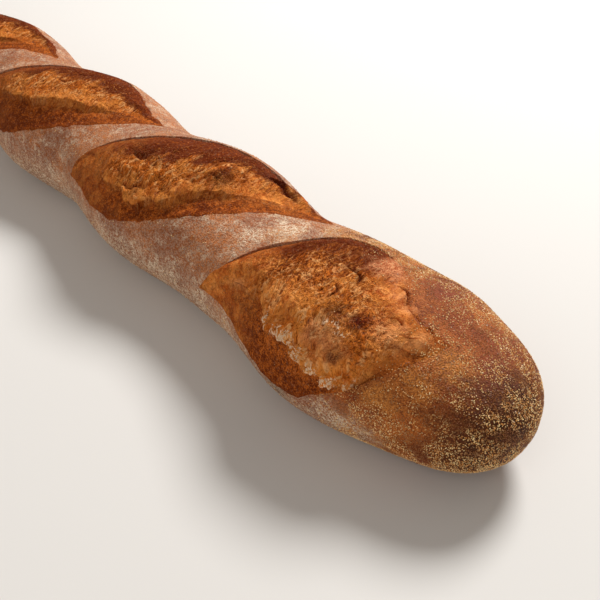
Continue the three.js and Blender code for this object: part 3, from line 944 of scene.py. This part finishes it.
def crumb_place(number, cut, x, row):
    """A corner of a patch: its place on the skin, its lift and push, and its masks."""
    behind = min(number, 1)
    lip, ledge, hem = cut.lip_line(x), cut.ledge_line(x), cut.hem_line(x)
    torn, lifted = cut.torn(x), cut.lifted(x)
    reach = smooth(min(x - cut.low_tip[0], cut.high_tip[0] - x), 0, TIP_REACH)
    face = LEDGE_FACE[behind] * reach
    face_start, face_end = LEDGE_ROWS
    down = clamp((row - face_start) / (face_end - face_start))
    if row <= face_start:
        s = lerp(lip - TUCK * reach, ledge, row / face_start)
    else:
        s = ledge + face * down
        s += max(row - face_end, 0) / (1 - face_end) * (hem + TUCK * reach - ledge - face)
    past_lip = past(cut.lip_line, x, s)
    past_ledge = past(cut.ledge_line, x, s)
    before_ledge = max(-past_ledge, 0)
    before_hem = -past(cut.hem_line, x, s)

    # Where and how far the crumb broke off at the ledge: in loose bits, or all along it
    tatters = 0.9 * cut.bumps(x, 0, 5, 60) + 0.5 * cut.bumps(x, 0, 1.8, 61)
    if behind:
        broken = torn * clamp(0.6 + tatters, 0, 1.4)
        ledge_height, overhang = LEDGE_HEIGHT * (0.35 + 0.3 * cut.rocky), 0.3 * LEDGE_OVERHANG
    else:
        torn_bit = max(fading(abs(x - bit_x), 0.5 * half, half) for bit_x, half in TORN_BITS)
        broken = torn * torn_bit * (1 + 0.6 * tatters)
        ledge_height, overhang = LEDGE_HEIGHT, LEDGE_OVERHANG

    lift, masks = crumb_relief(number, cut, x, min(s, ledge), past_lip, before_ledge)
    edge = broken * fading(before_ledge, 0, LEDGE_WIDTH)
    lift += dome(cut, x, past_lip, before_ledge) + ledge_height * edge
    lift += lerp(LAP, -1.2 * clamp(-past_lip, 0, 2), lifted) * fading(past_lip, 0, 1.5)
    push = overhang * edge**CURL
    masks["pink"] = max(masks["pink"], 0.4 * near_places(x, s, PALE_FIBRES.get(number, [])))
    masks["pale"] = 0
    if not behind:
        frayed = fading(before_ledge + 2 * cut.bumps(x, s, 1.2), 0.4, 3.4)
        thread = max(crease_at(x, s, path, THREAD_WIDTH)[0] for path in THREADS)
        masks["pale"] = max(0.9 * broken * frayed, 0.75 * thread)
    if row > face_start:
        low, masks = band_looks(number, cut, x, s, past_ledge, before_hem, broken, masks)
        lift = lerp(lift, low, down)
        push = lerp(push, -0.5 * broken * fading(past_ledge, 0.4, 2), down)

    # At its rims the crumb runs out into plain crust, more softly at the near cut's high tip. A
    # lifted lip hides the rim under it, which then counts as far off.
    far_off = 99
    rim = min(before_hem, lerp(past_lip, far_off, smooth(lifted, 0, 0.5)))
    soft = 0 if behind else smooth(cut.share(x), 0.78, 0.9)
    masks["skin"] = fading(rim + 1.5 * cut.bumps(x, s, 2), 0, 1 + 5 * soft) * max(soft, 0.35)
    masks["semolina_cut"] = semolina_at(x, s) * max(masks["skin"], 0.12) if x > 205 else 0
    return s, lift, push, masks


def crumb_patch(number, cut, step, material):
    """The crumb and the band of one cut: a patch from under the lip to the hem."""
    length = cut.high_tip[0] - cut.low_tip[0]
    width = cut.lip_bow[0] + cut.hem_bow[0]
    patch = bmesh.new()
    bmesh.ops.create_grid(patch, x_segments=round(length / step), y_segments=round(width / step), size=1)
    masks = {name: [] for name in CRUMB_MASKS}
    fibres = []
    for vert in patch.verts:
        share = lerp(TIP_LEFT_OUT, 1 - TIP_LEFT_OUT, vert.co.x / 2 + 0.5)
        x = lerp(cut.low_tip[0], cut.high_tip[0], share)
        s, lift, push, corner_masks = crumb_place(number, cut, x, vert.co.y / 2 + 0.5)
        vert.co = skin_point(x, s, lift, push) + settle
        for name, value in (corner_masks | crust_tones(x, s)).items():
            masks[name].append(value)
        curl = 2 * cut.bumps(x, s, 6, 20) + 0.8 * cut.bumps(x, s, 1.7, 21)
        along, over = fibre_way(x, s, curl)
        fibres += [(along + 1.2 * lift) / 1.25, over, cut.seed]
    rim = [edge for edge in patch.edges if edge.is_boundary]
    drawn = bmesh.ops.extrude_edge_only(patch, edges=rim)["geom"]
    inner = [part for part in drawn if isinstance(part, bmesh.types.BMVert)]
    middle_x = (cut.low_tip[0] + cut.high_tip[0]) / 2
    middle_s = (cut.lip_line(middle_x) + cut.hem_line(middle_x)) / 2
    anchor = skin_point(middle_x, middle_s, -ANCHOR_DEPTH, 0) + settle
    bmesh.ops.pointmerge(patch, verts=inner, merge_co=anchor)
    bmesh.ops.recalc_face_normals(patch, faces=patch.faces)
    piece = new_piece(f"torn_crumb_{number + 1}", patch, material)
    hidden = len(piece.data.vertices) - len(masks["crest"])
    write_masks(piece.data, {name: values + [0] * hidden for name, values in masks.items()})
    way = piece.data.attributes.new("fibres", "FLOAT_VECTOR", "POINT")
    way.data.foreach_set("vector", fibres + [0] * 3 * hidden)
    return piece


crumb = crumb_material()
for number, cut in enumerate(CUTS):
    crumb_patch(number, cut, CRUMB_STEPS[min(number, 2)], crumb)

# --- The semolina ---------------------------------------------------------------------------------
# Coarse durum grits that the loaf was proved on, half sunk in the crust. They lie thick on the
# blunt end and along its top and foot, and thin elsewhere. Each grit is a crystal of 8 faces.

GRIT_RADIUS = (0.14, 0.32)  # each of a grit's three radii lies between these


def semolina_material():
    """Durum semolina: hard, slightly glassy grits from straw to gold, some toasted."""
    material, tree, shader, place = surface("durum_semolina")
    bright = patches(tree, place, 0.8, 0.4, 0.64)
    toasted = patches(tree, place, 7, 0.46, 0.64, 3.0)
    colour = add(tree, BLEND, {0: bright, 6: "#cf8a3c", 7: "#ffe2a4"}, 2, **RGBA)
    colour = add(tree, BLEND, {0: toasted, 6: colour, 7: "#8f5424"}, 2, **RGBA)
    tree.links.new(colour, shader.inputs["Base Color"])
    shader.inputs["Roughness"].default_value = 0.4
    return material


def scattered(mesh, name, seed):
    """Places strewn over a mesh as thickly as its mask says, as a mesh of loose corners. The faces
    are taken in the order of their corners' numbers, so that the places are the same every time."""
    chance = random.Random(seed)
    per_mm2 = [corner.value for corner in mesh.attributes[name].data]
    places = [corner.co for corner in mesh.vertices]
    strewn = bmesh.new()
    triangles = []
    for face in mesh.polygons:
        numbers = sorted(face.vertices)
        triangles += zip(numbers, numbers[1:], numbers[2:])
    for triangle in sorted(triangles):
        thickness = sum(per_mm2[number] for number in triangle) / 3
        if thickness == 0:
            continue
        start, *ends = (places[number] for number in triangle)
        one, other = (end - start for end in ends)
        expected = thickness * one.cross(other).length / 2 / MM**2
        for _ in range(int(expected + chance.random())):
            share, other_share = chance.random(), chance.random()
            if share + other_share > 1:
                share, other_share = 1 - share, 1 - other_share
            strewn.verts.new(start + share * one + other_share * other)
    return strewn


def grit_maker(name, material, seed):
    """A node group that puts a grit on each corner of a mesh, as real mesh."""
    tree = bpy.data.node_groups.new(name, "GeometryNodeTree")
    tree.interface.new_socket("Geometry", in_out="INPUT", socket_type="NodeSocketGeometry")
    tree.interface.new_socket("Geometry", in_out="OUTPUT", socket_type="NodeSocketGeometry")
    strewn = add(tree, "NodeGroupInput", {})
    grit = add(tree, "GeometryNodeMeshUVSphere", {"Segments": 4, "Rings": 2, "Radius": MM})
    low, high = ((radius,) * 3 for radius in GRIT_RADIUS)
    sizes = {0: low, 1: high, "Seed": seed}
    turns = {1: (math.tau,) * 3, "Seed": seed + 1}
    size = add(tree, "FunctionNodeRandomValue", sizes, data_type="FLOAT_VECTOR")
    turn = add(tree, "FunctionNodeRandomValue", turns, data_type="FLOAT_VECTOR")
    placed = {"Points": strewn, "Instance": grit, "Scale": size, "Rotation": turn}
    grits = add(tree, "GeometryNodeInstanceOnPoints", placed)
    real = add(tree, "GeometryNodeRealizeInstances", {0: grits})
    clad = add(tree, "GeometryNodeSetMaterial", {"Geometry": real, "Material": material})
    add(tree, "NodeGroupOutput", {0: clad})
    return tree


semolina = semolina_material()
grounds = {name: crust for name in SOWN} | {"semolina_cut": bpy.data.objects["torn_crumb_1"]}
for seed, (name, ground) in enumerate(grounds.items()):
    strewn = scattered(ground.data, name, seed)
    grit_places = bpy.data.meshes.new(name)
    strewn.to_mesh(grit_places)
    strewn.free()
    grits = new_object(name, grit_places)
    grits.modifiers.new("grits", "NODES").node_group = grit_maker(name, semolina, 10 * seed)
    settled = grits.evaluated_get(bpy.context.evaluated_depsgraph_get())
    grits.data = bpy.data.meshes.new_from_object(settled)
    grits.modifiers.clear()
    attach(grits, "root")

# --- The floor, the light and the camera -----------------------------------------------------------
# A pale matt sweep under one large soft light from behind the loaf, with a weak one before it. Here
# lengths are in metres, and the lens and its sensor in millimetres.

FLOOR_HALF = 3.0
LOOK_FROM = Vector((0.3842, -0.16625, 0.2147))
LOOK_AT = Vector((0.18864, -0.00769, 0.025))
LENS, SENSOR = 54, 36

floor_mesh = bmesh.new()
bmesh.ops.create_grid(floor_mesh, x_segments=1, y_segments=1, size=FLOOR_HALF)
floor_data = bpy.data.meshes.new("floor")
floor_mesh.to_mesh(floor_data)
floor_mesh.free()
floor = new_object("floor", floor_data)
floor_material, _, floor_shader, _ = surface("matt_paper")
floor_shader.inputs["Base Color"].default_value = linear("#d9d6d1")
floor_shader.inputs["Roughness"].default_value = 0.9
floor_data.materials.append(floor_material)

world = bpy.data.worlds.new("studio")
bpy.context.scene.world = world
world.use_nodes = True
world.node_tree.nodes["Background"].inputs["Color"].default_value = linear("#f3e9e0")
world.node_tree.nodes["Background"].inputs["Strength"].default_value = 0.35


def soft_light(name, at, towards, size, power):
    """A round soft light of a diameter and a power in watts."""
    data = bpy.data.lights.new(name, "AREA")
    data.shape, data.size, data.energy = "DISK", size, power
    light = new_object(name, data)
    light.location = at
    light.rotation_euler = (Vector(towards) - Vector(at)).to_track_quat("-Z", "Y").to_euler()


soft_light("window", (-0.1, 0.9, 1.0), (0.1, 0, 0), 0.5, 23)
soft_light("fill", (0.6, -1.1, 0.8), (0.1, 0, 0), 1.2, 4.5)

camera_data = bpy.data.cameras.new("camera")
camera_data.lens, camera_data.sensor_width = LENS, SENSOR
camera_data.clip_start = 0.01
camera = new_object("camera", camera_data)
camera.location = LOOK_FROM
camera.rotation_euler = (LOOK_AT - LOOK_FROM).to_track_quat("-Z", "Y").to_euler()
bpy.context.scene.camera = camera
bpy.context.scene.view_settings.view_transform = "Standard"
